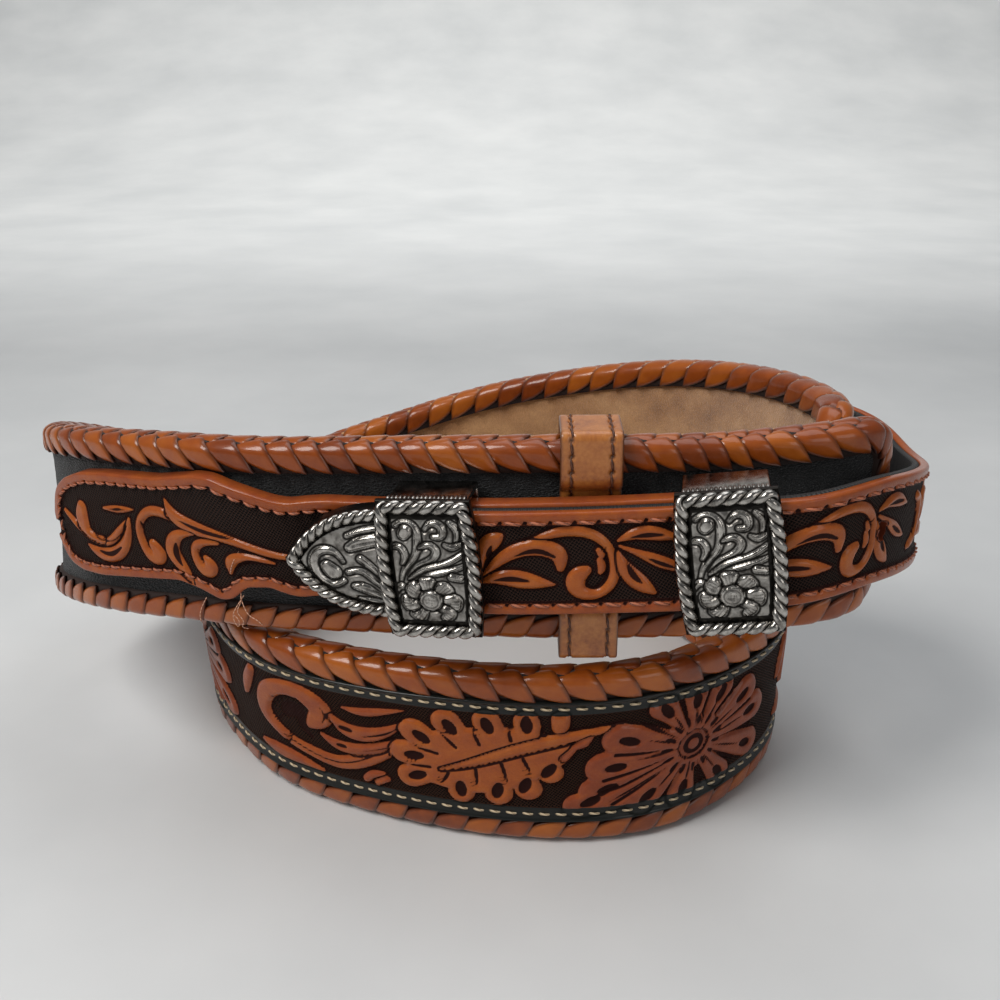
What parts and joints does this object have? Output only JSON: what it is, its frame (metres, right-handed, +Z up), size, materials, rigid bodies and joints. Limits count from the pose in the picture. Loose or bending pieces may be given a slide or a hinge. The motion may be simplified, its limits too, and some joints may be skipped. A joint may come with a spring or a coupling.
{
  "type": "western tooled belt",
  "caption": "Coiled western ranger belt of tooled leather with laced edges, its narrow billet closed through engraved silver keepers and ending in a silver tip.",
  "frame": {"origin": "on the surface it lies on, under the middle of its outline", "axes": "+X along the front of the coil to the viewer's right, +Y to the back of the coil, +Z up"},
  "size_m": [0.1898, 0.1274, 0.0852],
  "materials": {
    "black_leather": "coarse black nap with glints",
    "suede": "tan suede, fuzzy",
    "tooled_leather": "carved, antiqued and waxed",
    "orange_lace": "smooth waxed lace",
    "tan_leather": "smooth, burnished edges",
    "engraved_silver": "engraved and darkened in the cuts"
  },
  "bodies": {
    "root": {"base_strap": "black_leather", "suede_lining": "suede", "tooled_overlay": "tooled_leather", "edge_lacing_top": "orange_lace", "edge_lacing_bottom": "orange_lace", "buckle_billet": "tooled_leather", "tip_billet": "tooled_leather", "tip_billet_backing": "black_leather", "keeper_near_tip": "engraved_silver", "keeper_near_bend": "engraved_silver", "silver_tip": "engraved_silver", "tan_loop": "tan_leather"}
  },
  "joints": []
}
